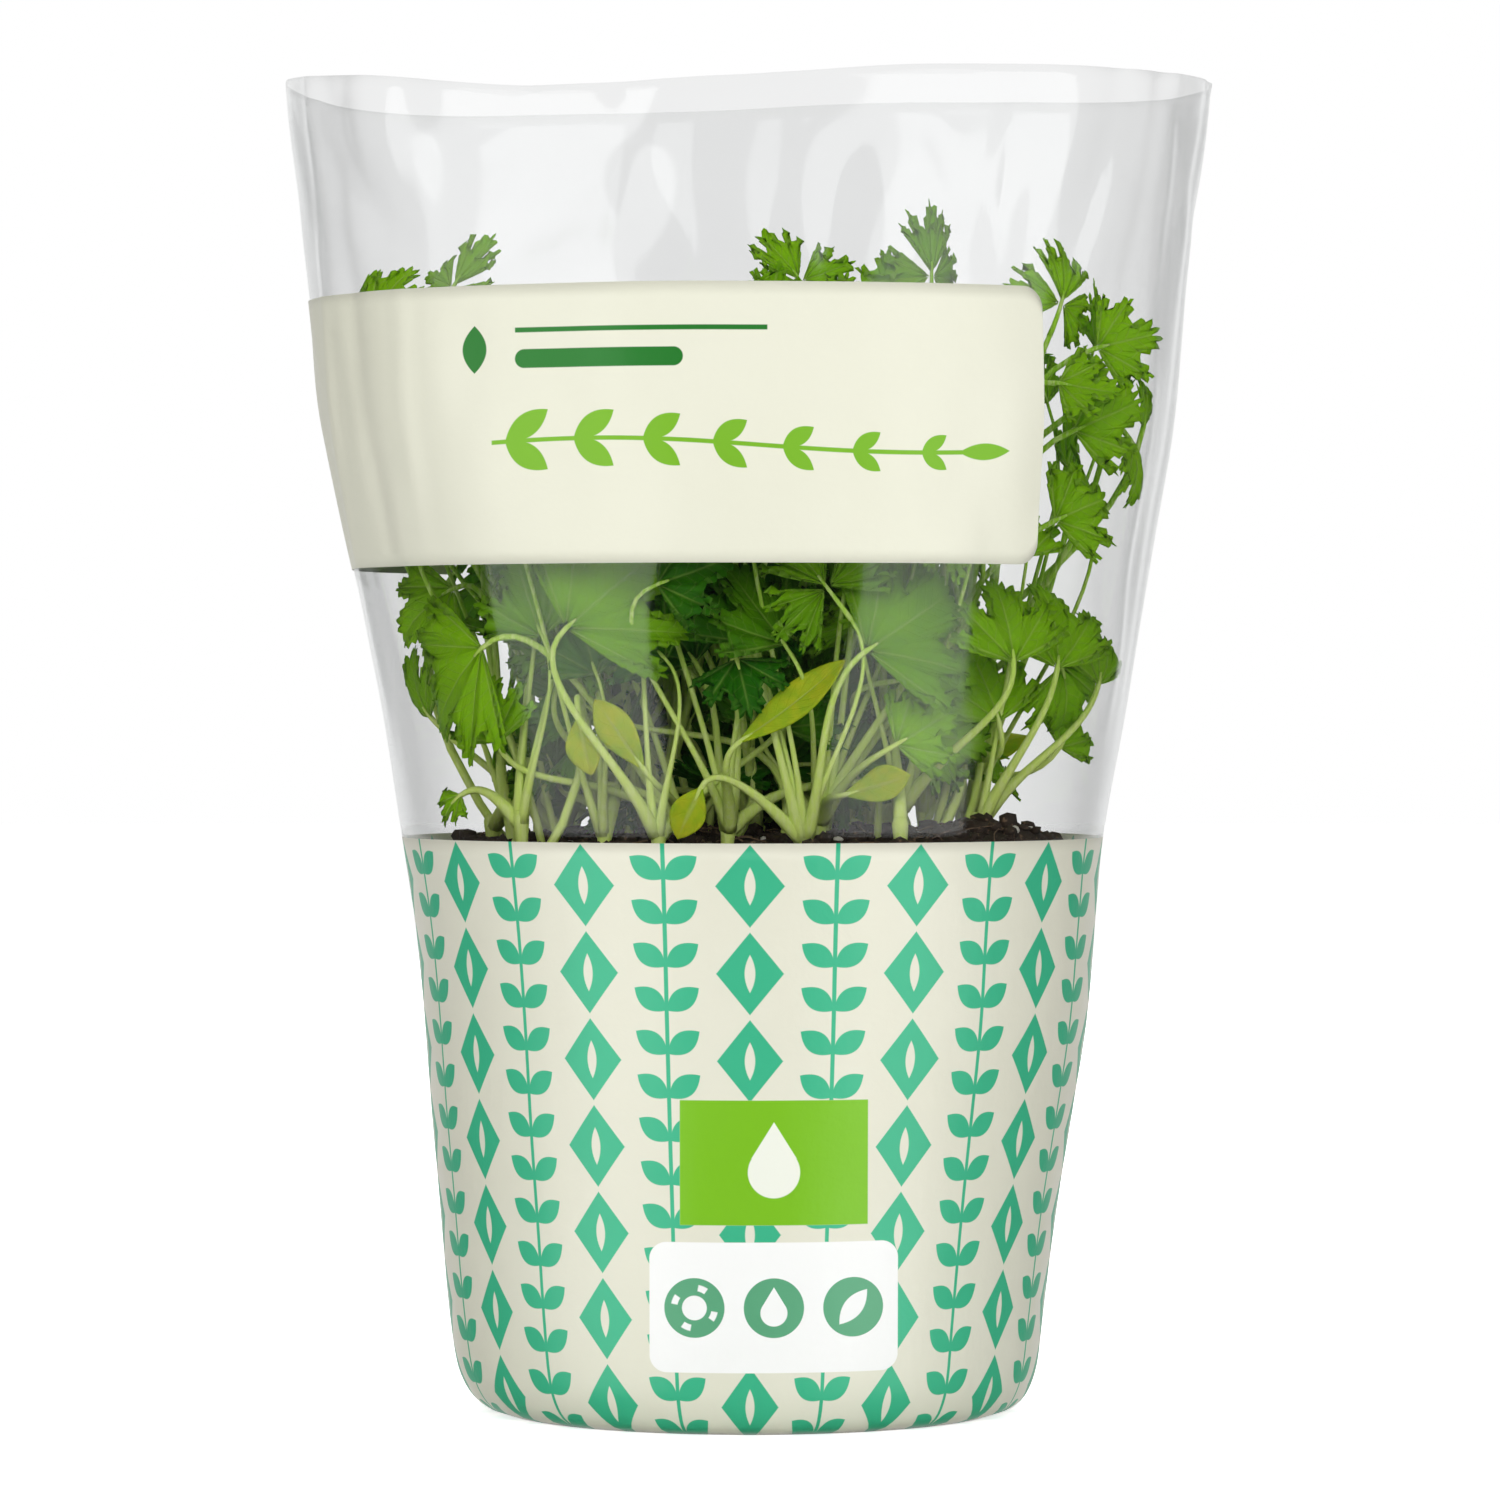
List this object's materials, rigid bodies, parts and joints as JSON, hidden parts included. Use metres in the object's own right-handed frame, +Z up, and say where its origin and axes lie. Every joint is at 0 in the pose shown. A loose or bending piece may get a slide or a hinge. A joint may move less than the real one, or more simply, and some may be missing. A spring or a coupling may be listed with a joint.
{
  "type": "potted coriander plant in a film sleeve",
  "caption": "Coriander seedlings growing in a round nursery pot, inside a tall tapered clear film sleeve with a wavy open rim, a printed lower part and a plain label panel.",
  "frame": {"origin": "centre of the sleeve's round base, on the surface it stands on", "axes": "+Z up along the sleeve, -Y towards the front, where the label panel faces, and +X to the right seen from the front"},
  "size_m": [0.1739, 0.1436, 0.2512],
  "materials": {
    "clear_film": "clear glossy film",
    "printed_film": "opaque printed film, satin",
    "label_print": "opaque print on film, satin",
    "pot_plastic": "matt dark polypropylene",
    "peat_soil": "moist loose peat",
    "coriander": "fresh leaf, slightly waxy"
  },
  "bodies": {
    "root": {"sleeve_film": "clear_film", "sleeve_print": "printed_film", "label_panel": "label_print", "pot": "pot_plastic", "soil": "peat_soil", "seedling_01": "coriander", "seedling_02": "coriander", "seedling_03": "coriander", "seedling_04": "coriander", "seedling_05": "coriander", "seedling_06": "coriander", "seedling_07": "coriander", "seedling_08": "coriander", "seedling_09": "coriander", "seedling_10": "coriander", "seedling_11": "coriander", "seedling_12": "coriander", "seedling_13": "coriander", "seedling_14": "coriander", "seedling_15": "coriander", "seedling_16": "coriander", "seedling_17": "coriander", "seedling_18": "coriander", "seedling_19": "coriander", "seedling_20": "coriander", "seedling_21": "coriander", "seedling_22": "coriander", "seedling_23": "coriander", "seedling_24": "coriander", "seedling_25": "coriander", "seedling_26": "coriander", "seedling_27": "coriander", "seedling_28": "coriander", "seedling_29": "coriander", "seedling_30": "coriander", "seedling_31": "coriander", "seedling_32": "coriander", "seedling_33": "coriander", "seedling_34": "coriander"}
  },
  "joints": []
}
